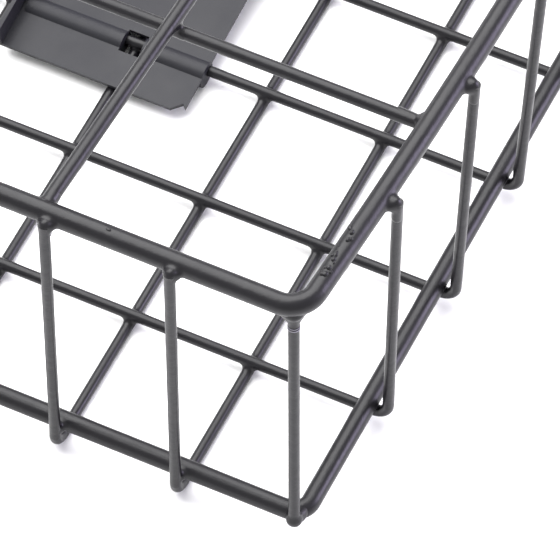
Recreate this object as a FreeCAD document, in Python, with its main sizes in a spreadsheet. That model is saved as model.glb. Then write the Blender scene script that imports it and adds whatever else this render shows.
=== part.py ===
import FreeCAD, Part
import math
import os

import Sketcher
from FreeCAD import Placement, Rotation, Vector

# Spring-lid live catch trap, set and open, as a welded wire basket.
# X is across the basket, Y along it from the front wall to the hinge wall, Z up.
# The origin is on the ground under the middle of the basket. Millimetres.

DIMS = {
    # basket outline: distances between the bottom rim's axes
    "basket_width": 160.0,
    "basket_length": 228.0,
    "rim_rise": 57.0,
    "top_rim_dia": 3.7,
    "bottom_rim_dia": 3.3,
    "top_corner": 4.5,
    "bottom_corner": 3.0,
    "side_bow": 4.0,
    # corner posts: how far their ends stand in from the rims' axes in X and out in Y
    "post_foot_in": 0.6,
    "post_foot_out": 2.1,
    "post_head_in": 1.8,
    "post_head_out": -0.5,
    "post_foot_z": 6.5,
    # U-shaped floor-and-wall wires
    "wire_dia": 1.9,
    "weld_set": 0.4,
    "hook_radius": 3.0,
    "rim_gap": 0.05,
    "hook_gap": 0.7,
    "wire_top_lift": 0.4,
    # how far in from the bottom rim the wires stand, the same from both ends
    "column_a": 21.8,
    "column_b": 43.8,
    "column_c": 68.2,
    "row_a": 25.4,
    "row_b": 51.8,
    "row_c": 76.7,
    "row_d": 101.4,
    # braces across the mouth
    "long_brace_dia": 2.6,
    "cross_brace_dia": 2.3,
    "long_brace_in_front": 45.5,
    "long_brace_in_rear": 35.3,
    "cross_brace_in": 43.0,
    # treadle
    "plate_thickness": 0.7,
    "plate_right_x": 25.5,
    "plate_left_x": -9.7,
    "plate_front": 10.2,
    "plate_rear": 50.0,
    "plate_lift": 1.1,
    "treadle_angle": 6.0,
    "knuckle_clearance": 0.08,
    "knuckle_radius": 2.3,
    "knuckle_forward": 1.0,
    "clipped_corner": 2.4,
    "flange_height": 5.0,
    "tab_height": 4.0,
    "tab_width": 12.0,
    "wire_slot": 3.8,
    "wire_slot_rear": 1.2,
    # lid, measured about its hinge axis, which is the top rim's own axis
    "open_angle": 100.0,
    "lid_rim_dia": 3.3,
    "lid_wire_dia": 2.0,
    "hinge_offset": 6.0,
    "hinge_lean": 4.8,
    "lid_corner": 8.0,
    "lid_overhang": 5.0,
    "clip_x": 52.0,
    "clip_width": 9.0,
    "clip_thickness": 1.0,
    "clip_clearance": 0.08,
    # springs
    "spring_x": 24.0,
    "spring_wire_dia": 1.4,
    "spring_radius": 2.95,
    "spring_turns": 5.0,
    "spring_turn_gap": 0.056,
    "spring_leg": 9.0,
    "anchor_drop": 14.0,
    "anchor_reach": 11.0,
    # set rod
    "rod_dia": 2.2,
    "rod_x": 3.85,
    "rod_eye_clearance": 0.08,
    "rod_tip_lift": 0.75,
}

doc = FreeCAD.newDocument("LiveCatchTrap")
sheet = doc.addObject("Spreadsheet::Sheet", "Dims")
for line, (alias, number) in enumerate(DIMS.items(), start=1):
    sheet.set(f"A{line}", alias)
    sheet.set(f"B{line}", str(number))
    sheet.setAlias(f"B{line}", alias)
doc.recompute()

nodes = []


def dim(alias):
    return float(sheet.get(alias))


def keep(obj, label):
    """Register a finished sub-part under the name of its file."""
    obj.Label = label
    nodes.append(obj)
    return obj


def bind(obj, **expressions):
    for path, expression in expressions.items():
        obj.setExpression(path.replace("__", "."), expression)


# Heights of the wire layers: long wires lie lowest, cross wires on them, the bottom rim on those.
LONG_Z = "Dims.wire_dia / 2"
CROSS_Z = "Dims.wire_dia * 1.5 - Dims.weld_set"
BOTTOM_RIM_Z = "Dims.wire_dia * 2 - Dims.weld_set + Dims.bottom_rim_dia / 2 + Dims.rim_gap"
TOP_RIM_Z = f"({BOTTOM_RIM_Z} + Dims.rim_rise)"

long_z = dim("wire_dia") / 2
cross_z = dim("wire_dia") * 1.5 - dim("weld_set")
bottom_rim_z = dim("wire_dia") * 2 - dim("weld_set") + dim("bottom_rim_dia") / 2 + dim("rim_gap")
top_rim_z = bottom_rim_z + dim("rim_rise")
half_width = dim("basket_width") / 2
half_length = dim("basket_length") / 2


def origin_plane(body, role):
    return [f for f in body.Origin.OriginFeatures if f.Role == role][0]


def new_sketch(body, name, role):
    sketch = body.newObject("Sketcher::SketchObject", name)
    sketch.AttachmentSupport = (origin_plane(body, role), [""])
    sketch.MapMode = "FlatFace"
    return sketch


def join(sketch, first, second):
    """The end of the first edge runs smoothly into the start of the second."""
    sketch.addConstraint(Sketcher.Constraint("Tangent", first, 2, second, 1))


def measure(sketch, kind, places, value, expression):
    """A driving size of a sketch: its value now and the formula it follows."""
    index = sketch.addConstraint(Sketcher.Constraint(kind, *places, value))
    sketch.setExpression(f"Constraints[{index}]", expression)


def circle_profile(body, role, centre, expressions, diameter):
    """A round wire section; centre and expressions are its two sketch coordinates."""
    profile = new_sketch(body, "Section", role)
    radius = dim(diameter) / 2
    circle = profile.addGeometry(Part.Circle(Vector(centre[0], centre[1], 0), Vector(0, 0, 1), radius))
    measure(profile, "Radius", (circle,), radius, f"Dims.{diameter} / 2")
    for kind, value, expression in zip(("DistanceX", "DistanceY"), centre, expressions):
        if expression is None:
            axis = -2 if kind == "DistanceX" else -1
            profile.addConstraint(Sketcher.Constraint("PointOnObject", circle, 3, axis))
        else:
            measure(profile, kind, (-1, 1, circle, 3), value, expression)
    return profile


def sweep(body, profile, path):
    pipe = body.newObject("PartDesign::AdditivePipe", "Wire")
    pipe.Profile = profile
    edges = [f"Edge{i + 1}" for i in range(path.GeometryCount)]
    pipe.Spine = (path, edges)
    pipe.Mode = "Standard"
    return pipe


def tangent_corner(centre, radius, start, end):
    return Part.ArcOfCircle(Part.Circle(Vector(*centre, 0), Vector(0, 0, 1), radius), start, end)


def rim_body(label, width, length, corner, diameter, bow):
    """A closed loop of round wire, whose long sides may bow outwards by a driving size.

    Width and length are each given as the size now and the formula it follows.
    """
    body = doc.addObject("PartDesign::Body", label)
    path = new_sketch(body, "Path", "XY_Plane")
    half_x = width[0] / 2
    half_y = length[0] / 2
    width_formula = width[1]
    length_formula = length[1]
    radius = dim(corner)
    if bow:
        sag = dim(bow)
        side_radius = (half_y ** 2 + sag ** 2) / (2 * sag)
        turn = math.asin((half_y - radius) / (side_radius - radius))
        side_centre = half_x + sag - side_radius
        corner_x = side_centre + (side_radius - radius) * math.cos(turn)
    else:
        turn = 0.0
        corner_x = half_x - radius
    corner_y = half_y - radius
    up = math.pi / 2
    front = path.addGeometry(Part.LineSegment(Vector(-corner_x, -half_y, 0), Vector(corner_x, -half_y, 0)))
    front_right = path.addGeometry(tangent_corner((corner_x, -corner_y), radius, -up, -turn))
    if bow:
        right_shape = tangent_corner((side_centre, 0), side_radius, -turn, turn)
        left_shape = tangent_corner((-side_centre, 0), side_radius, math.pi - turn, math.pi + turn)
    else:
        right_shape = Part.LineSegment(Vector(half_x, -corner_y, 0), Vector(half_x, corner_y, 0))
        left_shape = Part.LineSegment(Vector(-half_x, corner_y, 0), Vector(-half_x, -corner_y, 0))
    right = path.addGeometry(right_shape)
    rear_right = path.addGeometry(tangent_corner((corner_x, corner_y), radius, turn, up))
    rear = path.addGeometry(Part.LineSegment(Vector(corner_x, half_y, 0), Vector(-corner_x, half_y, 0)))
    rear_left = path.addGeometry(tangent_corner((-corner_x, corner_y), radius, up, math.pi - turn))
    left = path.addGeometry(left_shape)
    front_left = path.addGeometry(
        tangent_corner((-corner_x, -corner_y), radius, math.pi + turn, math.pi + up))
    loop = [front, front_right, right, rear_right, rear, rear_left, left, front_left]
    for edge, following in zip(loop, loop[1:] + loop[:1]):
        join(path, edge, following)
    for line in (front, rear):
        path.addConstraint(Sketcher.Constraint("Horizontal", line))
    for arc in (front_right, rear_right, rear_left, front_left):
        measure(path, "Radius", (arc,), radius, f"Dims.{corner}")
    measure(path, "DistanceY", (front, 1, -1, 1), half_y, f"({length_formula}) / 2")
    measure(path, "DistanceY", (-1, 1, rear, 1), half_y, f"({length_formula}) / 2")
    if bow:
        side = f"((({length_formula}) / 2) ^ 2 + Dims.{bow} ^ 2) / (2 * Dims.{bow})"
        for arc, sign in ((right, 1), (left, -1)):
            measure(path, "Radius", (arc,), side_radius, side)
            path.addConstraint(Sketcher.Constraint("PointOnObject", arc, 3, -1))
            places = (arc, 3, -1, 1) if sign > 0 else (-1, 1, arc, 3)
            side_place = f"{side} - Dims.{bow} - ({width_formula}) / 2"
            measure(path, "DistanceX", places, -side_centre, side_place)
    else:
        for line in (right, left):
            path.addConstraint(Sketcher.Constraint("Vertical", line))
        measure(path, "DistanceX", (-1, 1, right, 1), half_x, f"({width_formula}) / 2")
        measure(path, "DistanceX", (left, 1, -1, 1), half_x, f"({width_formula}) / 2")
    section = circle_profile(body, "YZ_Plane", (-half_y, 0), (f"-({length_formula}) / 2", None), diameter)
    sweep(body, section, path)
    return keep(body, label)


def wall_wire(label, plane, half_span, span, level, level_z, place):
    """A U of round wire: wall, hook under the bottom rim, floor, hook and wall."""
    body = doc.addObject("PartDesign::Body", label)
    path = new_sketch(body, "Path", plane)
    radius = dim("hook_radius")
    top_z = top_rim_z + dim("wire_top_lift")
    low, high = half_span
    low_formula, high_formula = span
    floor_end = low - radius
    left_wall = path.addGeometry(Part.LineSegment(Vector(-high, top_z, 0), Vector(-low, level + radius, 0)))
    left_hook = path.addGeometry(
        tangent_corner((-floor_end, level + radius), radius, math.pi, math.pi * 1.5))
    floor = path.addGeometry(Part.LineSegment(Vector(-floor_end, level, 0), Vector(floor_end, level, 0)))
    right_hook = path.addGeometry(
        tangent_corner((floor_end, level + radius), radius, math.pi * 1.5, math.pi * 2))
    right_wall = path.addGeometry(Part.LineSegment(Vector(low, level + radius, 0), Vector(high, top_z, 0)))
    run = [left_wall, left_hook, floor, right_hook, right_wall]
    for edge, following in zip(run, run[1:]):
        join(path, edge, following)
    path.addConstraint(Sketcher.Constraint("Horizontal", floor))
    measure(path, "DistanceY", (-1, 1, floor, 1), level, level_z)
    for hook in (left_hook, right_hook):
        measure(path, "Radius", (hook,), radius, "Dims.hook_radius")
    top_formula = f"{TOP_RIM_Z} + Dims.wire_top_lift"
    measure(path, "DistanceX", (left_wall, 1, -1, 1), high, high_formula)
    measure(path, "DistanceX", (left_wall, 2, -1, 1), low, low_formula)
    measure(path, "DistanceX", (-1, 1, right_wall, 2), high, high_formula)
    measure(path, "DistanceX", (-1, 1, right_wall, 1), low, low_formula)
    measure(path, "DistanceY", (-1, 1, left_wall, 1), top_z, top_formula)
    measure(path, "DistanceY", (-1, 1, right_wall, 2), top_z, top_formula)
    if plane == "XZ_Plane":
        section = circle_profile(body, "XY_Plane", (-high, 0), (f"-({high_formula})", None), "wire_dia")
    else:
        section = circle_profile(body, "XY_Plane", (0, -high), (None, f"-({high_formula})"), "wire_dia")
    section.setExpression("AttachmentOffset.Base.z", top_formula)
    sweep(body, section, path)
    body.Placement = Placement(Vector(*place), Rotation())
    return keep(body, label)


def rod(label, start, end, diameter):
    """A straight wire between two points, its thickness bound to the sheet."""
    wire = doc.addObject("Part::Cylinder", label)
    bind(wire, Radius=f"Dims.{diameter} / 2")
    run = Vector(*end) - Vector(*start)
    wire.Height = run.Length
    wire.Placement = Placement(Vector(*start), Rotation(Vector(0, 0, 1), run))
    return wire


# Rims
bottom_rim = rim_body(
    "bottom_rim", (2 * half_width, "Dims.basket_width"), (2 * half_length, "Dims.basket_length"),
    "bottom_corner", "bottom_rim_dia", None)
bind(bottom_rim, Placement__Base__z=BOTTOM_RIM_Z)
top_rim = rim_body(
    "top_rim", (2 * half_width, "Dims.basket_width"), (2 * half_length, "Dims.basket_length"),
    "top_corner", "top_rim_dia", "side_bow")
bind(top_rim, Placement__Base__z=TOP_RIM_Z)


# Wall wires stand outside both rims, and lean out with the bow of the top rim. The cross wires'
# hooks pass the bottom rim with a gap: they are welded to it only from below.
low_stand = (dim("bottom_rim_dia") + dim("wire_dia")) / 2 + dim("rim_gap")
high_stand = (dim("top_rim_dia") + dim("wire_dia")) / 2 + dim("rim_gap")
LOW_STAND = "(Dims.bottom_rim_dia + Dims.wire_dia) / 2 + Dims.rim_gap"
HIGH_STAND = "(Dims.top_rim_dia + Dims.wire_dia) / 2 + Dims.rim_gap"
BOW_RADIUS = "(((Dims.basket_length / 2) ^ 2 + Dims.side_bow ^ 2) / (2 * Dims.side_bow))"
bow_radius = (half_length ** 2 + dim("side_bow") ** 2) / (2 * dim("side_bow"))

row_insets = ["row_a", "row_b", "row_c", "row_d"]
rows = [(name, -1) for name in row_insets] + [(name, 1) for name in reversed(row_insets)]
row_places = []
for number, (inset, side) in enumerate(rows, start=1):
    row_y = side * (half_length - dim(inset))
    row_places.append(row_y)
    bulge = math.sqrt(bow_radius ** 2 - row_y ** 2) - bow_radius + dim("side_bow")
    bulge_formula = (
        f"(({BOW_RADIUS} ^ 2 - (Dims.basket_length / 2 - Dims.{inset}) ^ 2) ^ 0.5"
        f" - {BOW_RADIUS} + Dims.side_bow)")
    wall_wire(
        f"cross_wire_{number}", "XZ_Plane",
        (half_width + low_stand + dim("hook_gap"), half_width + bulge + high_stand),
        (f"Dims.basket_width / 2 + {LOW_STAND} + Dims.hook_gap",
         f"Dims.basket_width / 2 + {bulge_formula} + {HIGH_STAND}"),
        cross_z, CROSS_Z, (0, row_y, 0))

column_insets = ["column_a", "column_b", "column_c"]
columns = [(name, -1) for name in column_insets] + [(name, 1) for name in reversed(column_insets)]
column_places = []
for number, (inset, side) in enumerate(columns, start=1):
    column_x = side * (half_width - dim(inset))
    column_places.append(column_x)
    wall_wire(
        f"long_wire_{number}", "YZ_Plane",
        (half_length + low_stand, half_length + high_stand),
        (f"Dims.basket_length / 2 + {LOW_STAND}", f"Dims.basket_length / 2 + {HIGH_STAND}"),
        long_z, LONG_Z, (column_x, 0, 0))


# Corner posts: their feet are welded to the outside of the bottom rim's corners, and their
# heads under the outer side of the top rim's
post_top = top_rim_z - dim("top_rim_dia") / 2
for end_name, side_y in (("front", -1), ("rear", 1)):
    for side_name, side_x in (("left", -1), ("right", 1)):
        label = f"corner_post_{end_name}_{side_name}"
        foot_x = side_x * (half_width - dim("post_foot_in"))
        foot_y = side_y * (half_length + dim("post_foot_out"))
        head_x = side_x * (half_width - dim("post_head_in"))
        head_y = side_y * (half_length + dim("post_head_out"))
        foot = (foot_x, foot_y, dim("post_foot_z"))
        keep(rod(label, foot, (head_x, head_y, post_top), "wire_dia"), label)


# Braces across the mouth: the long pair lies over the cross pair, butted inside the top rim,
# and splays a little towards the hinge
brace_end_y = half_length - dim("top_rim_dia") / 2 - dim("rim_gap")
brace_front_x = half_width - dim("long_brace_in_front")
brace_rear_x = half_width - dim("long_brace_in_rear")
cross_brace_z = top_rim_z - (dim("long_brace_dia") + dim("cross_brace_dia")) / 2 - dim("rim_gap")
brace_y = half_length - dim("cross_brace_in")
brace_bulge = math.sqrt(bow_radius ** 2 - brace_y ** 2) - bow_radius + dim("side_bow")
brace_end_x = half_width + brace_bulge - dim("top_rim_dia") / 2 - dim("rim_gap")
for name, side in (("left", -1), ("right", 1)):
    label = f"long_brace_{name}"
    start = (side * brace_front_x, -brace_end_y, top_rim_z)
    end = (side * brace_rear_x, brace_end_y, top_rim_z)
    keep(rod(label, start, end, "long_brace_dia"), label)
for name, side in (("front", -1), ("rear", 1)):
    label = f"cross_brace_{name}"
    start = (-brace_end_x, side * brace_y, cross_brace_z)
    end = (brace_end_x, side * brace_y, cross_brace_z)
    keep(rod(label, start, end, "cross_brace_dia"), label)


# Treadle: one bent sheet with rolled knuckles round the third cross wire.
# It is drawn about its hinge axis and tipped up to its set angle by its placement.
def box(size, corner):
    block = doc.addObject("Part::Box", "Block")
    block.Length, block.Width, block.Height = size
    block.Placement = Placement(Vector(*corner), Rotation())
    return block


def fuse(parts, name):
    whole = doc.addObject("Part::MultiFuse", name)
    whole.Shapes = parts
    return whole


def cut(base, tool, name):
    rest = doc.addObject("Part::Cut", name)
    rest.Base = base
    rest.Tool = tool
    return rest


plate = dim("plate_thickness")
plate_width = dim("plate_right_x") - dim("plate_left_x")
plate_run = dim("plate_front") + dim("plate_rear")
plate_low = dim("plate_lift") - plate / 2
knuckle_hole = dim("wire_dia") / 2 + dim("knuckle_clearance")


def along_x(radius, start_x, end_x, name, y=0.0):
    bar = doc.addObject("Part::Cylinder", name)
    bar.Radius = radius
    bar.Height = end_x - start_x
    bar.Placement = Placement(Vector(start_x, y, 0), Rotation(Vector(0, 1, 0), 90))
    return bar


sheet_metal = box((plate_width, plate_run, plate), (dim("plate_left_x"), -dim("plate_front"), plate_low))
flange = box(
    (plate, plate_run, dim("flange_height")),
    (dim("plate_left_x"), -dim("plate_front"), plate_low))
tab_x = dim("rod_x") - dim("tab_width") / 2
tab = box(
    (dim("tab_width"), plate, dim("tab_height")),
    (tab_x, dim("plate_rear") - plate, plate_low))
slot_right = column_places[3] + dim("wire_slot") / 2
slot_left = column_places[3] - dim("wire_slot") / 2
knuckle_y = -dim("knuckle_forward")
knuckle_left_end = dim("plate_left_x") + 2 * plate
knuckles = [
    along_x(dim("knuckle_radius"), knuckle_left_end, slot_left, "Knuckle", knuckle_y),
    along_x(dim("knuckle_radius"), slot_right, dim("plate_right_x"), "Knuckle", knuckle_y),
]
solid_plate = fuse([sheet_metal, flange, tab] + knuckles, "TreadleBlank")
pin_hole = along_x(knuckle_hole, dim("plate_left_x") - plate, dim("plate_right_x") + plate, "PinHole")
slot_reach = dim("knuckle_radius") + dim("knuckle_forward")
slot_run = slot_reach + dim("wire_slot_rear")
wire_slot = box((dim("wire_slot"), slot_run, 2 * slot_reach), (slot_left, -slot_reach, -slot_reach))
corner_size = dim("clipped_corner")
cutter_height = plate * 4
clipped = box((corner_size * 2, corner_size, cutter_height), (0, 0, 0))
clipped.Placement = Placement(
    Vector(dim("plate_right_x") - corner_size, -dim("plate_front"), plate_low - plate),
    Rotation(Vector(0, 0, 1), -45))
treadle = cut(solid_plate, fuse([pin_hole, clipped, wire_slot], "TreadleCuts"), "Treadle")
treadle_y = row_places[2]
treadle.Placement = Placement(
    Vector(0, treadle_y, cross_z), Rotation(Vector(1, 0, 0), dim("treadle_angle")))
keep(treadle, "treadle_plate")


# Lid: its pieces are drawn shut, about the hinge axis, and swung open by one placement.
hinge_y = half_length
swing = Placement(Vector(0, hinge_y, top_rim_z), Rotation(Vector(1, 0, 0), -dim("open_angle")))
lean = math.radians(dim("hinge_lean"))
lid_rim_y = dim("hinge_offset") * math.sin(lean)
lid_rim_z = dim("hinge_offset") * math.cos(lean)
lid_length = dim("basket_length") + 2 * lid_rim_y
cross_lid_z = lid_rim_z - (dim("lid_rim_dia") + dim("lid_wire_dia")) / 2 - dim("rim_gap")
long_lid_z = cross_lid_z + dim("lid_wire_dia") + dim("rim_gap")

lid_rim = rim_body(
    "lid_rim", (2 * half_width, "Dims.basket_width"),
    (lid_length, "Dims.basket_length + 2 * Dims.hinge_offset * sin(Dims.hinge_lean * 1 deg)"),
    "lid_corner", "lid_rim_dia", None)
lid_rim.Placement = swing.multiply(Placement(Vector(0, -half_length, lid_rim_z), Rotation()))

lid_reach = half_width + dim("lid_overhang")
for number, row_y in enumerate(row_places, start=1):
    label = f"lid_cross_wire_{number}"
    local_y = row_y - half_length
    wire = rod(label, (-lid_reach, local_y, cross_lid_z), (lid_reach, local_y, cross_lid_z), "lid_wire_dia")
    wire.Placement = swing.multiply(wire.Placement)
    keep(wire, label)

lid_inner = half_length + lid_rim_y - dim("lid_rim_dia") / 2 - dim("rim_gap")
for number, column_x in enumerate(column_places, start=1):
    label = f"lid_long_wire_{number}"
    wire = rod(
        label, (column_x, -half_length - lid_inner, long_lid_z),
        (column_x, -half_length + lid_inner, long_lid_z), "lid_wire_dia")
    wire.Placement = swing.multiply(wire.Placement)
    keep(wire, label)


# Hinge clips: a strap bent round the top rim and crimped round the lid rim
def strap(width, rim_hole, lid_hole):
    """A stadium-shaped bar along X round both wires; holes are its two radii."""
    pieces = [
        along_x(rim_hole, -width / 2, width / 2, "StrapRim"),
        along_x(lid_hole, -width / 2, width / 2, "StrapLid"),
    ]
    pieces[1].Placement.Base = Vector(-width / 2, lid_rim_y, lid_rim_z)
    thin = min(rim_hole, lid_hole)
    web = box((width, 2 * thin, dim("hinge_offset")), (-width / 2, -thin, 0))
    web.Placement = Placement(Vector(0, 0, 0), Rotation(Vector(1, 0, 0), -dim("hinge_lean"))).multiply(
        web.Placement)
    return fuse(pieces + [web], "Strap")


rim_hole = dim("top_rim_dia") / 2 + dim("clip_clearance")
lid_hole = dim("lid_rim_dia") / 2 + dim("rim_gap")
for name, side in (("left", -1), ("right", 1)):
    label = f"hinge_clip_{name}"
    outside = strap(dim("clip_width"), rim_hole + dim("clip_thickness"), lid_hole + dim("clip_thickness"))
    holes = [
        along_x(rim_hole, -dim("clip_width"), dim("clip_width"), "RimHole"),
        along_x(lid_hole, -dim("clip_width"), dim("clip_width"), "LidHole"),
    ]
    holes[1].Placement.Base = Vector(-dim("clip_width"), lid_rim_y, lid_rim_z)
    clip = cut(outside, fuse(holes, "ClipHoles"), label)
    clip.Placement = swing.multiply(Placement(Vector(side * dim("clip_x"), 0, 0), Rotation()))
    keep(clip, label)


# Torsion springs: the coil and the leg that drives the lid, and the leg that bears on the wall
coil_pitch = dim("spring_wire_dia") + dim("spring_turn_gap")
coil_height = coil_pitch * dim("spring_turns")
for name, side in (("left", -1), ("right", 1)):
    label = f"lid_spring_{name}"
    coil_path = Part.makeHelix(coil_pitch, coil_height, dim("spring_radius"))
    coil_section = Part.Wire([Part.Edge(Part.Circle(
        Vector(dim("spring_radius"), 0, 0), Vector(0, 1, 0), dim("spring_wire_dia") / 2))])
    coil_shape = Part.Wire(coil_path).makePipeShell([coil_section], True, True)
    leg_shape = Part.makeCylinder(
        dim("spring_wire_dia") / 2, dim("spring_leg"), Vector(dim("spring_radius"), 0, 0), Vector(0, -1, 0))
    coil = doc.addObject("Part::Feature", label)
    coil.Shape = coil_shape.fuse(leg_shape)
    turned = Placement(
        Vector(side * dim("spring_x") + coil_height / 2, 0, 0),
        Rotation(Vector(0, 1, 0), Vector(0, 0, -1), Vector(-1, 0, 0), "ZXY"))
    coil.Placement = swing.multiply(turned)
    keep(coil, label)

anchor_y = hinge_y + dim("spring_radius")
anchor_foot_y = hinge_y + high_stand + (dim("wire_dia") + dim("spring_wire_dia")) / 2 + dim("rim_gap") * 2
anchor_z = top_rim_z - dim("anchor_drop")
for name, side in (("left", -1), ("right", 1)):
    label = f"spring_anchor_{name}"
    leg_x = side * (dim("spring_x") + coil_height / 2 + dim("spring_wire_dia"))
    leg = rod("AnchorLeg", (leg_x, anchor_y, top_rim_z), (leg_x, anchor_foot_y, anchor_z), "spring_wire_dia")
    foot = rod(
        "AnchorFoot", (leg_x, anchor_foot_y, anchor_z),
        (leg_x + side * dim("anchor_reach"), anchor_foot_y, anchor_z), "spring_wire_dia")
    elbow = doc.addObject("Part::Sphere", "AnchorElbow")
    bind(elbow, Radius="Dims.spring_wire_dia / 2")
    elbow.Placement = Placement(Vector(leg_x, anchor_foot_y, anchor_z), Rotation())
    keep(fuse([leg, elbow, foot], label), label)


# Set rod: an eye round a lid cross wire, and a straight run to the treadle's catch tab
pivot_local_y = row_places[-2] - half_length
pivot = swing.multVec(Vector(0, pivot_local_y, cross_lid_z))
tilt = math.radians(dim("treadle_angle"))
tab_top = dim("tab_height") + plate_low
tip_y = treadle_y + dim("plate_rear") * math.cos(tilt) - tab_top * math.sin(tilt)
tip_z = cross_z + dim("plate_rear") * math.sin(tilt) + tab_top * math.cos(tilt)
tip_z = tip_z + dim("rod_dia") / 2 + dim("rod_tip_lift")
eye_radius = dim("lid_wire_dia") / 2 + dim("rod_eye_clearance") + dim("rod_dia") / 2
eye = doc.addObject("Part::Torus", "RodEye")
bind(eye, Radius2="Dims.rod_dia / 2")
eye.Radius1 = eye_radius
eye.Placement = Placement(Vector(dim("rod_x"), pivot.y, pivot.z), Rotation(Vector(0, 1, 0), 90))
aim = Vector(dim("rod_x"), tip_y, tip_z) - Vector(dim("rod_x"), pivot.y, pivot.z)
aim.normalize()
neck = Vector(dim("rod_x"), pivot.y, pivot.z) + aim * eye_radius
rod_run = rod("RodRun", neck, (dim("rod_x"), tip_y, tip_z), "rod_dia")
rod_tip = doc.addObject("Part::Sphere", "RodTip")
bind(rod_tip, Radius="Dims.rod_dia / 2")
rod_tip.Placement = Placement(Vector(dim("rod_x"), tip_y, tip_z), Rotation())
keep(fuse([eye, rod_run, rod_tip], "set_rod"), "set_rod")


doc.recompute()
for item in doc.Objects:
    if "Invalid" in item.State or "Error" in item.State:
        raise RuntimeError(f"{item.Label} failed: {item.State}")
for node in nodes:
    if node.Shape.isNull() or not node.Shape.isValid() or node.Shape.Volume <= 0:
        raise RuntimeError(f"{node.Label} has no valid solid")

os.makedirs("parts", exist_ok=True)
for node in nodes:
    node.Shape.exportStep(f"parts/{node.Label}.step")
print(len(nodes), "sub-parts")
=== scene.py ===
import math
import random

import bpy
from mathutils import Matrix, Vector


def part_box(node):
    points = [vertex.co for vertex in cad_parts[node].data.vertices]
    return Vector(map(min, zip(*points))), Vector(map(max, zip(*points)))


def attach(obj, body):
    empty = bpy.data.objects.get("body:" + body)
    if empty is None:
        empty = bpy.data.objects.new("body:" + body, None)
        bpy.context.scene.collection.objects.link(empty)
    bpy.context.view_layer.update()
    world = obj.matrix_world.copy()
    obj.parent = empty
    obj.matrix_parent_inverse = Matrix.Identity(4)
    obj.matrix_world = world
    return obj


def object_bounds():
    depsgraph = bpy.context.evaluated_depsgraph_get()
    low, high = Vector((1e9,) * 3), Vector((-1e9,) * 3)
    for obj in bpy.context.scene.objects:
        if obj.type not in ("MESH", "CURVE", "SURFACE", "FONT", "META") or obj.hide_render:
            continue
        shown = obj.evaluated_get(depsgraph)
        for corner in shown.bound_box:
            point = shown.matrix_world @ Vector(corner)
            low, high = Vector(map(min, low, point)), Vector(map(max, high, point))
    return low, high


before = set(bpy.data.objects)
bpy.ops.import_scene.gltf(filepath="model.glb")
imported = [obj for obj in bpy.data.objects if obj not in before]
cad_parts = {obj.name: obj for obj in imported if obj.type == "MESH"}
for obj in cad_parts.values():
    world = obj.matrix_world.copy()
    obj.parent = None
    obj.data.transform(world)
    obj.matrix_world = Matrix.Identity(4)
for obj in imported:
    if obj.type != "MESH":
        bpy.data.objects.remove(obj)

cad_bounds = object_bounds()
bpy.ops.object.select_all(action="DESELECT")


# ---------------------------------------------------------------------------
# The trap's wires: every rim, wall wire, post, brace and lid wire is mild steel wire,
# welded into a basket and then dipped in a near-black coating that cured semi-gloss,
# with a faint ripple, soft cloudy patches, dust-sized specks and a few scuffs.

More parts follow.
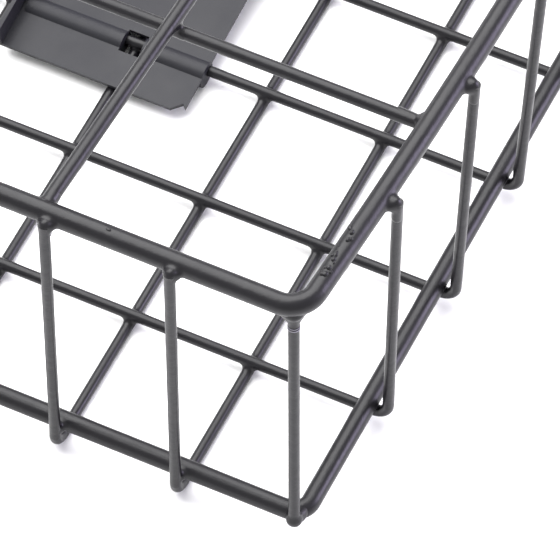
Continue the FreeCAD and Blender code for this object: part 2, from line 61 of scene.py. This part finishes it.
def coating_material(name, colour, worn_colour, gloss, ripple):
    """A dipped coating: colour clouds, fine ripple, specks, and scuffs that dull it."""
    material = bpy.data.materials.new(name)
    material.use_nodes = True
    nodes = material.node_tree.nodes
    links = material.node_tree.links
    shader = nodes["Principled BSDF"]
    shader.inputs["IOR"].default_value = 1.5
    shader.inputs["Specular IOR Level"].default_value = 0.24
    shader.inputs["Coat Weight"].default_value = 0.08
    shader.inputs["Coat Roughness"].default_value = 0.22
    place = nodes.new("ShaderNodeTexCoord")

    clouds = nodes.new("ShaderNodeTexNoise")
    clouds.inputs["Scale"].default_value = 90.0
    clouds.inputs["Detail"].default_value = 5.0
    clouds.inputs["Roughness"].default_value = 0.62
    links.new(place.outputs["Object"], clouds.inputs["Vector"])

    specks = nodes.new("ShaderNodeTexVoronoi")
    specks.inputs["Scale"].default_value = 900.0
    links.new(place.outputs["Object"], specks.inputs["Vector"])
    speck_mask = nodes.new("ShaderNodeMapRange")
    speck_mask.inputs["From Min"].default_value = 0.10
    speck_mask.inputs["From Max"].default_value = 0.03
    links.new(specks.outputs["Distance"], speck_mask.inputs["Value"])

    scuffs = nodes.new("ShaderNodeTexNoise")
    scuffs.inputs["Scale"].default_value = 34.0
    scuffs.inputs["Detail"].default_value = 9.0
    scuffs.inputs["Roughness"].default_value = 0.75
    links.new(place.outputs["Object"], scuffs.inputs["Vector"])
    scuff_mask = nodes.new("ShaderNodeMapRange")
    scuff_mask.inputs["From Min"].default_value = 0.60
    scuff_mask.inputs["From Max"].default_value = 0.70
    links.new(scuffs.outputs["Fac"], scuff_mask.inputs["Value"])
    scuffed_specks = nodes.new("ShaderNodeMath")
    scuffed_specks.operation = "MULTIPLY"
    links.new(speck_mask.outputs["Result"], scuffed_specks.inputs[0])
    links.new(scuff_mask.outputs["Result"], scuffed_specks.inputs[1])

    cloud_colour = nodes.new("ShaderNodeMix")
    cloud_colour.data_type = "RGBA"
    cloud_colour.inputs["A"].default_value = (*[c * 0.78 for c in colour], 1)
    cloud_colour.inputs["B"].default_value = (*[c * 1.35 for c in colour], 1)
    links.new(clouds.outputs["Fac"], cloud_colour.inputs["Factor"])
    worn = nodes.new("ShaderNodeMix")
    worn.data_type = "RGBA"
    worn.inputs["B"].default_value = (*worn_colour, 1)
    links.new(scuffed_specks.outputs["Value"], worn.inputs["Factor"])
    links.new(cloud_colour.outputs["Result"], worn.inputs["A"])
    links.new(worn.outputs["Result"], shader.inputs["Base Color"])

    sheen = nodes.new("ShaderNodeMapRange")
    sheen.inputs["From Min"].default_value = 0.3
    sheen.inputs["From Max"].default_value = 0.7
    sheen.inputs["To Min"].default_value = gloss - 0.06
    sheen.inputs["To Max"].default_value = gloss + 0.08
    links.new(clouds.outputs["Fac"], sheen.inputs["Value"])
    dulled = nodes.new("ShaderNodeMath")
    dulled.operation = "MULTIPLY_ADD"
    dulled.inputs[1].default_value = 0.12
    links.new(scuff_mask.outputs["Result"], dulled.inputs[0])
    links.new(sheen.outputs["Result"], dulled.inputs[2])
    links.new(dulled.outputs["Value"], shader.inputs["Roughness"])

    skin = nodes.new("ShaderNodeTexNoise")
    skin.inputs["Scale"].default_value = 520.0
    skin.inputs["Detail"].default_value = 4.0
    links.new(place.outputs["Object"], skin.inputs["Vector"])
    roughened = nodes.new("ShaderNodeMath")
    roughened.operation = "ADD"
    links.new(skin.outputs["Fac"], roughened.inputs[0])
    links.new(scuffed_specks.outputs["Value"], roughened.inputs[1])
    bump = nodes.new("ShaderNodeBump")
    bump.inputs["Strength"].default_value = ripple
    bump.inputs["Distance"].default_value = 0.00025
    links.new(roughened.outputs["Value"], bump.inputs["Height"])
    links.new(bump.outputs["Normal"], shader.inputs["Normal"])
    return material


wire_coating = coating_material(
    "wire coating", colour=(0.0065, 0.006, 0.0078), worn_colour=(0.10, 0.095, 0.10), gloss=0.36, ripple=0.35)
wire_prefixes = (
    "top_rim", "bottom_rim", "cross_wire", "long_wire", "corner_post", "cross_brace", "long_brace",
    "lid_rim", "lid_cross_wire", "lid_long_wire", "set_rod")
for name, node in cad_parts.items():
    if name.startswith(wire_prefixes):
        node.data.materials.clear()
        node.data.materials.append(wire_coating)
        for face in node.data.polygons:
            face.use_smooth = True


# ---------------------------------------------------------------------------
# The sheet parts: the treadle and the hinge clips are thin steel sheet, sheared and
# rolled, under the same coating sprayed thinner, so they are satin and a shade lighter.
sheet_coating = coating_material(
    "sheet coating", colour=(0.012, 0.012, 0.0155), worn_colour=(0.12, 0.12, 0.13), gloss=0.55, ripple=0.2)
for name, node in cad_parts.items():
    if name.startswith(("treadle_plate", "hinge_clip")):
        node.data.materials.clear()
        node.data.materials.append(sheet_coating)
        dulled_edge = node.modifiers.new("dulled edge", "BEVEL")
        dulled_edge.width = 0.00012
        dulled_edge.segments = 3
        dulled_edge.limit_method = "ANGLE"
        dulled_edge.angle_limit = math.radians(40)


# ---------------------------------------------------------------------------
# The torsion springs: hard-drawn spring wire, wound cold round the rim and left bare
# under a film of oil, which mottles its grey and its gloss.
spring_steel = bpy.data.materials.new("spring steel")
spring_steel.use_nodes = True
steel_nodes = spring_steel.node_tree.nodes
steel_links = spring_steel.node_tree.links
steel_shader = steel_nodes["Principled BSDF"]
steel_shader.inputs["Metallic"].default_value = 1.0
steel_place = steel_nodes.new("ShaderNodeTexCoord")
oil_mottle = steel_nodes.new("ShaderNodeTexNoise")
oil_mottle.inputs["Scale"].default_value = 700.0
oil_mottle.inputs["Detail"].default_value = 6.0
steel_links.new(steel_place.outputs["Object"], oil_mottle.inputs["Vector"])
steel_colour = steel_nodes.new("ShaderNodeMix")
steel_colour.data_type = "RGBA"
steel_colour.inputs["A"].default_value = (0.07, 0.068, 0.065, 1)
steel_colour.inputs["B"].default_value = (0.19, 0.185, 0.18, 1)
steel_links.new(oil_mottle.outputs["Fac"], steel_colour.inputs["Factor"])
steel_links.new(steel_colour.outputs["Result"], steel_shader.inputs["Base Color"])
steel_rough = steel_nodes.new("ShaderNodeMapRange")
steel_rough.inputs["To Min"].default_value = 0.25
steel_rough.inputs["To Max"].default_value = 0.5
steel_links.new(oil_mottle.outputs["Fac"], steel_rough.inputs["Value"])
steel_links.new(steel_rough.outputs["Result"], steel_shader.inputs["Roughness"])
for name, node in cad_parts.items():
    if name.startswith(("lid_spring", "spring_anchor")):
        node.data.materials.clear()
        node.data.materials.append(spring_steel)
        for face in node.data.polygons:
            face.use_smooth = True


# ---------------------------------------------------------------------------
# The floor's welds: a cross wire lies over a long wire at each crossing, the two are
# spot-welded, and the dip coating pools there and rounds every corner into a fillet.

MM = 0.001
FILM_GRAIN = 0.16 * MM
FILM_SWELL = 0.06 * MM


def wire_stub(start, end, radius):
    """A short length of round wire between two points."""
    run = Vector(end) - Vector(start)
    bpy.ops.mesh.primitive_cylinder_add(
        vertices=32, radius=radius, depth=run.length, location=(Vector(start) + Vector(end)) / 2,
        rotation=run.to_track_quat("Z", "Y").to_euler())
    stub = bpy.context.object
    bpy.ops.object.transform_apply(location=True, rotation=True, scale=True)
    return stub


def coating_drop(centre, radii):
    """A drop of wet coating, flattened by its three radii."""
    bpy.ops.mesh.primitive_uv_sphere_add(segments=32, ring_count=20, radius=1.0, location=centre)
    drop = bpy.context.object
    drop.scale = radii
    bpy.ops.object.transform_apply(location=True, rotation=True, scale=True)
    return drop


def soaked_joint(name, stubs, drops, rounding=30):
    """Wire stubs and drops of coating run together into one smooth skin with filleted corners."""
    bpy.ops.object.select_all(action="DESELECT")
    pieces = [wire_stub(*stub) for stub in stubs] + [coating_drop(*drop) for drop in drops]
    for piece in pieces:
        piece.select_set(True)
    bpy.context.view_layer.objects.active = pieces[0]
    bpy.ops.object.join()
    joint = bpy.context.object
    joint.name = name
    merge = joint.modifiers.new("run together", "REMESH")
    merge.mode = "VOXEL"
    merge.voxel_size = FILM_GRAIN
    settle = joint.modifiers.new("settle", "SMOOTH")
    settle.factor = 1.0
    settle.iterations = rounding
    swell = joint.modifiers.new("film", "DISPLACE")
    swell.mid_level = 0.0
    swell.strength = FILM_SWELL
    thin_out = joint.modifiers.new("thin out", "DECIMATE")
    thin_out.ratio = 0.3
    for step in list(joint.modifiers):
        bpy.ops.object.modifier_apply(modifier=step.name)
    return joint


def weld_all(pattern, name, places, body):
    """One finished joint copied to every place, each with its own mesh, as one coated piece."""
    copies = []
    for place in places:
        copy = pattern.copy()
        copy.data = pattern.data.copy()
        copy.data.transform(place)
        bpy.context.scene.collection.objects.link(copy)
        copies.append(copy)
    bpy.data.objects.remove(pattern)
    bpy.ops.object.select_all(action="DESELECT")
    for copy in copies:
        copy.select_set(True)
    bpy.context.view_layer.objects.active = copies[0]
    if len(copies) > 1:
        bpy.ops.object.join()
    welds = bpy.context.object
    welds.name = name
    welds.data.materials.append(wire_coating)
    bpy.ops.object.shade_smooth()
    bpy.ops.object.select_all(action="DESELECT")
    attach(welds, body)
    return welds


def axes_at(point, x_axis, y_axis):
    """A placement whose X and Y point along two given directions."""
    x_axis = Vector(x_axis).normalized()
    z_axis = x_axis.cross(Vector(y_axis)).normalized()
    y_axis = z_axis.cross(x_axis)
    turn = Matrix((x_axis, y_axis, z_axis)).transposed().to_4x4()
    return Matrix.Translation(point) @ turn


def middle_of(node):
    lowest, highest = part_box(node)
    return (Vector(lowest) + Vector(highest)) / 2


def thickness_of(node, axis):
    lowest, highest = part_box(node)
    return highest[axis] - lowest[axis]


def crossing(name, over, under, step, drop_width, reach=3.2 * MM):
    """A wire of radius over along X, lying across a wire of radius under along Y."""
    return soaked_joint(
        name,
        [((-reach, 0, step / 2), (reach, 0, step / 2), over),
         ((0, -reach, -step / 2), (0, reach, -step / 2), under)],
        [((0, 0, 0), (drop_width, drop_width, step * 0.62))])


wire_radius = thickness_of("cross_wire_1", 1) / 2
rows = [middle_of(f"cross_wire_{number}").y for number in range(1, 9)]
columns = [middle_of(f"long_wire_{number}").x for number in range(1, 7)]
cross_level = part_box("cross_wire_1")[0][2] + wire_radius
long_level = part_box("long_wire_1")[0][2] + wire_radius
floor_step = cross_level - long_level
floor_middle = (cross_level + long_level) / 2
floor_joint = crossing("floor_joint", wire_radius, wire_radius, floor_step, 1.45 * MM)
slot_place = (columns[3], rows[2])
weld_all(
    floor_joint, "floor_welds",
    [Matrix.Translation((x, y, floor_middle)) for x in columns for y in rows if (x, y) != slot_place],
    "basket")
slot_joint = crossing("slot_joint", wire_radius, wire_radius, floor_step, 1.1 * MM, 1.7 * MM)
weld_all(slot_joint, "slot_weld", [Matrix.Translation((*slot_place, floor_middle))], "basket")


# ---------------------------------------------------------------------------
# The top rim's welds: each wall wire is cropped level with the rim and welded to its outer
# side, and the coating domes the cropped end, runs over to the rim and fills the corners.
top_low, top_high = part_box("top_rim")
rim_radius = thickness_of("top_rim", 2) / 2
rim_level = (top_low[2] + top_high[2]) / 2
hairline = 0.05 * MM
stand = rim_radius + wire_radius + hairline
sink = 0.05 * MM
side_gap = 0.7 * MM
rim_stub = 3.6 * MM

side_x = top_high[0] - rim_radius
row_1_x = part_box("cross_wire_1")[1][0] - wire_radius - stand
sag = side_x - row_1_x
bow_radius = (rows[0] ** 2 + sag ** 2) / (2 * sag)

top_joint = soaked_joint(
    "top_joint",
    [((-rim_stub, 0, 0), (rim_stub, 0, 0), rim_radius - sink),
     ((0, -4 * MM, stand), (0, 0.3 * MM, stand), wire_radius),
     ((0, -1.2 * MM, stand - sink), (0, 0.35 * MM, stand - sink), wire_radius * 1.02),
     ((0, 0.1 * MM, stand), (0, 0.1 * MM, rim_radius * 0.6), wire_radius)],
    [((0, -0.2 * MM, stand * 0.66), (1.6 * MM, 1.3 * MM, 1.5 * MM)),
     ((0, 0.2 * MM, stand - 0.3 * MM), (1.15 * MM, 1.15 * MM, 1.0 * MM))])
top_places = []
for number, y in enumerate(rows, start=1):
    high_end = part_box(f"cross_wire_{number}")[1]
    rim_x = high_end[0] - wire_radius - stand
    slope = y / bow_radius
    foot_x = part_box("bottom_rim")[1][0] + wire_radius + side_gap
    up = Vector((rim_x + stand - foot_x, 0, rim_level - cross_level))
    for side in (1, -1):
        wire_up = Vector((side * up.x, 0, up.z))
        along_rim = Vector((-side * slope, 1, 0)) * side
        top_places.append(axes_at(Vector((side * rim_x, y, rim_level)), along_rim, wire_up))
for number, x in enumerate(columns, start=1):
    high_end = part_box(f"long_wire_{number}")[1]
    rim_y = high_end[1] - wire_radius - stand
    top_places.append(axes_at(Vector((x, rim_y, rim_level)), (-1, 0, 0), (0, 0, 1)))
    top_places.append(axes_at(Vector((x, -rim_y, rim_level)), (1, 0, 0), (0, 0, 1)))
weld_all(top_joint, "top_rim_welds", top_places, "basket")


# ---------------------------------------------------------------------------
# The bottom rim's welds: the rim lies in the hook of every wire and is welded there, and
# the coating fills the crease between rim and hook on both sides.
bottom_low, bottom_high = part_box("bottom_rim")
low_rim_radius = thickness_of("bottom_rim", 2) / 2
low_rim_level = (bottom_low[2] + bottom_high[2]) / 2
low_stand = low_rim_radius + wire_radius + hairline


def hook_joint(name, level, gap, drops):
    """The rim along X, with a wire passing under it at a level and up outside it past a gap."""
    wall = low_stand + gap
    drop = level - low_rim_level
    bend = 3.0 * MM
    inset = 1 - math.sqrt(0.5)
    inner_bend = (0, drop, wall - bend)
    middle_bend = (0, drop + bend * inset, wall - bend * inset)
    outer_bend = (0, drop + bend, wall)
    hidden = wire_radius * 0.93
    return soaked_joint(
        name,
        [((-rim_stub, 0, 0), (rim_stub, 0, 0), low_rim_radius - sink),
         (outer_bend, (0, 4 * MM, wall), wire_radius),
         (middle_bend, outer_bend, hidden), (inner_bend, middle_bend, hidden),
         ((0, drop, -3.4 * MM), inner_bend, wire_radius)],
        drops)


under_rim = ((0, -low_rim_radius, 0), (1.35 * MM, 0.7 * MM, 1.2 * MM))
beside_rim = ((0, 0.3 * MM, low_stand * 0.6), (1.45 * MM, 1.2 * MM, 1.3 * MM))
weld_all(
    hook_joint("side_hook", cross_level, side_gap, [under_rim]), "side_hook_welds",
    [axes_at(Vector((side * (bottom_high[0] - low_rim_radius), y, low_rim_level)), (0, side, 0), (0, 0, 1))
     for y in rows for side in (1, -1)], "basket")
weld_all(
    hook_joint("end_hook", long_level, 0, [beside_rim]), "end_hook_welds",
    [axes_at(Vector((x, side * (bottom_high[1] - low_rim_radius), low_rim_level)), (-side, 0, 0), (0, 0, 1))
     for x in columns for side in (1, -1)], "basket")


# ---------------------------------------------------------------------------
# The corner posts' welds: a bead of coating hangs from each post's foot outside the bottom
# rim's bend, and a dark web fills the corner between its head and the top rim's underside.
low_bend = 3.0 * MM
top_bend = 4.5 * MM
post_low, post_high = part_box("corner_post_rear_right")
foot = Vector((post_high[0] - wire_radius, post_high[1] - wire_radius, post_low[2]))
head = Vector((post_low[0] + wire_radius, post_low[1] + wire_radius, post_high[2]))


def bend_points(corner_x, corner_y, bend, level, steps=4):
    """Points round one rim bend at its axis."""
    return [
        Vector((
            corner_x - bend + bend * math.cos(math.pi / 2 * step / steps),
            corner_y - bend + bend * math.sin(math.pi / 2 * step / steps),
            level))
        for step in range(steps + 1)]


low_corner_x = bottom_high[0] - low_rim_radius
low_corner_y = bottom_high[1] - low_rim_radius
low_points = bend_points(low_corner_x, low_corner_y, low_bend, low_rim_level)
rim_end_y = top_high[1] - rim_radius
rim_corner_x = side_x - bow_radius + math.sqrt(bow_radius ** 2 - rim_end_y ** 2)
top_points = bend_points(rim_corner_x, rim_end_y, top_bend, rim_level)
foot_joint = soaked_joint(
    "foot_joint",
    [(first, second, low_rim_radius - 0.2 * MM) for first, second in zip(low_points, low_points[1:])]
    + [(foot, foot + (head - foot).normalized() * 5 * MM, wire_radius)],
    [(foot, (1.4 * MM, 1.4 * MM, 1.4 * MM)),
     ((foot + low_points[2]) / 2, (1.6 * MM, 1.6 * MM, 1.3 * MM)),
     ((foot + low_points[1]) / 2, (1.2 * MM, 1.2 * MM, 1.1 * MM)),
     ((foot + low_points[3]) / 2, (1.2 * MM, 1.2 * MM, 1.1 * MM))])
web_drop = 2.0 * MM
head_joint = soaked_joint(
    "head_joint",
    [(first, second, rim_radius - 0.15 * MM) for first, second in zip(top_points[1:], top_points[2:-1])]
    + [(head - (head - foot).normalized() * 5 * MM, head, wire_radius)]
    + [(head - Vector((0, 0, web_drop)), top_points[step], 1.05 * MM) for step in (0, 1, 2, 3, 4)],
    [(head, (1.7 * MM, 1.7 * MM, 1.1 * MM))])
mirrors = [Matrix.Diagonal((x, y, 1, 1)) for x in (1, -1) for y in (1, -1)]
for name, pattern in (("post_foot_welds", foot_joint), ("post_head_welds", head_joint)):
    welds = weld_all(pattern, name, mirrors, "basket")
    bpy.context.view_layer.objects.active = welds
    welds.select_set(True)
    bpy.ops.object.mode_set(mode="EDIT")
    bpy.ops.mesh.select_all(action="SELECT")
    bpy.ops.mesh.normals_make_consistent(inside=False)
    bpy.ops.object.mode_set(mode="OBJECT")
    welds.select_set(False)


# ---------------------------------------------------------------------------
# The braces' welds: the long pair is butted against the inside of the rim, the cross pair
# is tucked under it, and the two are welded together where a long brace crosses over.
long_brace_radius = thickness_of("long_brace_left", 2) / 2
cross_brace_radius = thickness_of("cross_brace_front", 1) / 2
brace_low, brace_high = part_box("long_brace_right")
brace_ends_x = {-1: brace_low[0] + long_brace_radius, 1: brace_high[0] - long_brace_radius}
brace_level = (brace_low[2] + brace_high[2]) / 2
splay = (brace_ends_x[1] - brace_ends_x[-1]) / (brace_high[1] - brace_low[1])
cross_brace = middle_of("cross_brace_rear")
brace_step = brace_level - cross_brace.z

butt_joint = soaked_joint(
    "butt_joint",
    [((-2.6 * MM, 0, 0), (2.6 * MM, 0, 0), rim_radius - 2 * sink),
     ((0, 0, 0), (0, -4 * MM, 0), long_brace_radius)],
    [((0, -1.7 * MM, 0), (1.6 * MM, 0.8 * MM, 1.4 * MM))])
weld_all(
    butt_joint, "long_brace_welds",
    [axes_at(
        Vector((side * brace_ends_x[end], end * rim_end_y, rim_level)),
        (end, -side * splay * end, 0), (side * splay * end, end, 0)) for side in (1, -1) for end in (1, -1)],
    "basket")

end_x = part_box("cross_brace_rear")[1][0]
tuck_joint = soaked_joint(
    "tuck_joint",
    [((-rim_stub, 0, 0), (rim_stub, 0, 0), rim_radius - sink),
     ((0, -rim_radius - 5 * MM, -brace_step), (0, -rim_radius, -brace_step), cross_brace_radius)],
    [((0, -rim_radius * 0.95, -brace_step * 0.62), (1.6 * MM, 1.1 * MM, 1.3 * MM))])
tuck_slope = cross_brace.y / bow_radius
tuck_places = []
for side in (1, -1):
    for end in (1, -1):
        rim_point = Vector((side * (end_x + rim_radius), end * cross_brace.y, rim_level))
        along_rim = Vector((side * end * tuck_slope, -1, 0)) * side
        tuck_places.append(axes_at(rim_point, along_rim, (side, 0, 0)))
weld_all(tuck_joint, "cross_brace_welds", tuck_places, "basket")

brace_middle_x = (brace_ends_x[1] + brace_ends_x[-1]) / 2
crossing_x = {end: brace_middle_x + end * splay * cross_brace.y for end in (1, -1)}
brace_joint = crossing("brace_joint", long_brace_radius, cross_brace_radius, brace_step, 1.4 * MM, 2.6 * MM)
weld_all(
    brace_joint, "brace_crossing_welds",
    [axes_at(
        Vector((side * crossing_x[end], end * cross_brace.y, brace_level - brace_step / 2)),
        (side * splay, 1, 0), (-1, 0, 0)) for side in (1, -1) for end in (1, -1)], "basket")


# ---------------------------------------------------------------------------
# The coating's torn film: where the dip drained off a joint it left thin lips round the wire, under each
# post's web and round one wall wire's top. Their pale grey is a painted highlight, standing in for the
# glints that light catches on these thin film edges.
# Pale grey film colour (and its paler scuffed colour): a painted highlight for the glints on the film's thin
# edges.
painted_glint_film = coating_material(
    "film lip painted glint", colour=(0.30, 0.29, 0.33), worn_colour=(0.45, 0.44, 0.46), gloss=0.24, ripple=0.2)


def lip(place, axis, radius, lean):
    """A thin uneven ring of film round a wire, leaning off square to it."""
    bpy.ops.mesh.primitive_torus_add(
        major_segments=40, minor_segments=8, major_radius=radius, minor_radius=0.09 * MM, location=(0, 0, 0))
    ring = bpy.context.object
    bpy.ops.object.mode_set(mode="EDIT")
    bpy.ops.mesh.select_all(action="SELECT")
    bpy.ops.transform.resize(value=(1.0, 1.0 + lean, 0.7))
    bpy.ops.object.mode_set(mode="OBJECT")
    tilt = Matrix.Rotation(lean * 2, 4, "X")
    turn = Vector(axis).to_track_quat("Z", "Y").to_matrix().to_4x4()
    ring.data.transform(Matrix.Translation(place) @ turn @ tilt)
    return ring


post_axis = (head - foot).normalized()
bpy.ops.object.select_all(action="DESELECT")
lips = []
for mirror in mirrors:
    for back, lean in ((3.3 * MM, 0.05), (3.9 * MM, 0.12)):
        lips.append(lip(mirror @ (head - post_axis * back), mirror @ post_axis, wire_radius * 1.03, lean))
torn_top = Vector((columns[4], 0.35 * MM - (rim_end_y + stand), rim_level))
for drop, lean in ((0.9 * MM, 0.06), (1.5 * MM, 0.10)):
    lips.append(lip(torn_top - Vector((0, 0, drop)), (0.3, 0, 1), wire_radius * 1.02, lean))
for ring in lips:
    ring.select_set(True)
bpy.context.view_layer.objects.active = lips[0]
bpy.ops.object.join()
# The joined rings carry the pale painted-highlight colour of the film edges.
painted_glint_lips = bpy.context.object
painted_glint_lips.name = "painted_glint_lips"
painted_glint_lips.data.materials.append(painted_glint_film)
bpy.ops.object.mode_set(mode="EDIT")
bpy.ops.mesh.select_all(action="SELECT")
bpy.ops.mesh.normals_make_consistent(inside=False)
bpy.ops.object.mode_set(mode="OBJECT")
bpy.ops.object.shade_smooth()
bpy.ops.object.select_all(action="DESELECT")
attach(painted_glint_lips, "basket")


# ---------------------------------------------------------------------------
# Grit in the coating: a rough patch on the rim's inner upper side behind the front right
# bend, where dust stuck in the wet dip, and one lone speck on the front of the rim.
grit_draw = random.Random(11)
grains = []
for grain in range(26):
    back = 6 * MM + grit_draw.random() * 11 * MM
    around = math.radians(grit_draw.uniform(70, 125))
    y = -rim_end_y + back
    rim_x = side_x - bow_radius + math.sqrt(bow_radius ** 2 - y ** 2)
    size = grit_draw.uniform(0.16, 0.38) * MM
    spot = Vector((rim_x + rim_radius * math.cos(around), y, rim_level + rim_radius * math.sin(around)))
    grains.append((spot, (size * grit_draw.uniform(0.8, 1.5), size * 1.4, size)))
lone_speck = Vector((columns[4] + 10 * MM, -rim_end_y, rim_level + rim_radius))
grains.append((lone_speck, (0.5 * MM, 0.3 * MM, 0.2 * MM)))
bpy.ops.object.select_all(action="DESELECT")
drops = [coating_drop(*grain) for grain in grains]
for drop in drops:
    drop.select_set(True)
bpy.context.view_layer.objects.active = drops[0]
bpy.ops.object.join()
grit = bpy.context.object
grit.name = "coating_grit"
crumble = grit.modifiers.new("crumble", "REMESH")
crumble.mode = "VOXEL"
crumble.voxel_size = 0.1 * MM
bpy.ops.object.modifier_apply(modifier=crumble.name)
grit.data.materials.append(wire_coating)
bpy.ops.object.shade_smooth()
bpy.ops.object.select_all(action="DESELECT")
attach(grit, "basket")


# ---------------------------------------------------------------------------
# The lid's welds: its cross wires are spot-welded to its long wires and to the sides of
# its rim, and the coating fillets every crossing as on the floor.
lid_radius = thickness_of("lid_cross_wire_1", 2) / 2
lid_rows = [middle_of(f"lid_cross_wire_{number}") for number in range(1, 9)]
up_lid = (lid_rows[0] - lid_rows[-1]).normalized()
out_lid = Vector((1, 0, 0)).cross(up_lid)
lid_step = (middle_of("lid_long_wire_1") - lid_rows[0]).dot(out_lid)
lid_side = math.copysign(1, lid_step)
lid_joint = crossing("lid_joint", lid_radius, lid_radius, abs(lid_step), 1.75 * MM)
weld_all(
    lid_joint, "lid_welds",
    [axes_at(Vector((x, row.y, row.z)) + out_lid * lid_step / 2, (1, 0, 0), -up_lid * lid_side)
     for x in columns for row in lid_rows], "lid")

lid_rim_middle = middle_of("lid_rim")
lid_rim_radius = 1.65 * MM
lid_rim_step = (lid_rim_middle - lid_rows[0]).dot(out_lid)
lid_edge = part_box("lid_rim")[1][0] - lid_rim_radius
rim_joint = crossing("rim_joint", lid_radius, lid_rim_radius - sink, abs(lid_rim_step), 2.1 * MM, 3.6 * MM)
weld_all(
    rim_joint, "lid_rim_welds",
    [axes_at(
        Vector((side * lid_edge, row.y, row.z)) + out_lid * lid_rim_step / 2, (1, 0, 0), -up_lid * lid_side)
     for side in (1, -1) for row in lid_rows], "lid")


# ---------------------------------------------------------------------------
# The floor: a plain pale board, much wider than the trap.
bpy.ops.mesh.primitive_plane_add(size=6.0, location=(0, 0, cad_bounds[0][2] - 0.0001))
floor = bpy.context.object
floor.name = "floor"
floor_paint = bpy.data.materials.new("floor paint")
floor_paint.use_nodes = True
floor_shader = floor_paint.node_tree.nodes["Principled BSDF"]
floor_shader.inputs["Base Color"].default_value = (0.93, 0.93, 0.93, 1)
floor_shader.inputs["Roughness"].default_value = 0.8
floor.data.materials.append(floor_paint)


# ---------------------------------------------------------------------------
# The light: an even bright room, with one large soft lamp above and behind the basket's
# left, a weak cool one low on the right, and colours shown without a film curve.
room = bpy.data.worlds.new("room")
bpy.context.scene.world = room
room.use_nodes = True
room.node_tree.nodes["Background"].inputs["Color"].default_value = (1.0, 1.0, 1.0, 1)
room.node_tree.nodes["Background"].inputs["Strength"].default_value = 0.95
bpy.context.scene.view_settings.view_transform = "Standard"

basket_middle = (Vector(top_low) + Vector(top_high)) / 2
bpy.ops.object.light_add(type="AREA", location=(-0.55, 0.35, 1.3))
lamp = bpy.context.object
lamp.name = "soft lamp"
lamp.data.shape = "RECTANGLE"
lamp.data.size = 2.0
lamp.data.size_y = 1.6
lamp.data.energy = 70.0
lamp.rotation_euler = (basket_middle - lamp.location).to_track_quat("-Z", "Y").to_euler()


bpy.ops.object.light_add(type="AREA", location=(1.1, 0.7, 0.4))
fill = bpy.context.object
fill.name = "cool fill"
fill.data.size = 0.7
fill.data.energy = 16.0
fill.data.color = (0.80, 0.72, 1.0)
fill.rotation_euler = (basket_middle - fill.location).to_track_quat("-Z", "Y").to_euler()


# ---------------------------------------------------------------------------
# The camera looks down into the front right corner from far away with a long lens.
azimuth = math.radians(25.98)
elevation = math.radians(54.40)
roll = math.radians(-0.32)
turn = (
    Matrix.Rotation(azimuth, 4, "Z")
    @ Matrix.Rotation(math.pi / 2 - elevation, 4, "X")
    @ Matrix.Rotation(roll, 4, "Z"))
camera_data = bpy.data.cameras.new("camera")
camera_data.sensor_width = 36.0
camera_data.lens = 457.9
camera = bpy.data.objects.new("camera", camera_data)
bpy.context.scene.collection.objects.link(camera)
aim = Vector((0.0592, -0.0794, 0.0146))
distance = 1.173
camera.matrix_world = Matrix.Translation(aim) @ turn @ Matrix.Translation((0, 0, distance))
camera_data.clip_end = 20.0
bpy.context.scene.camera = camera
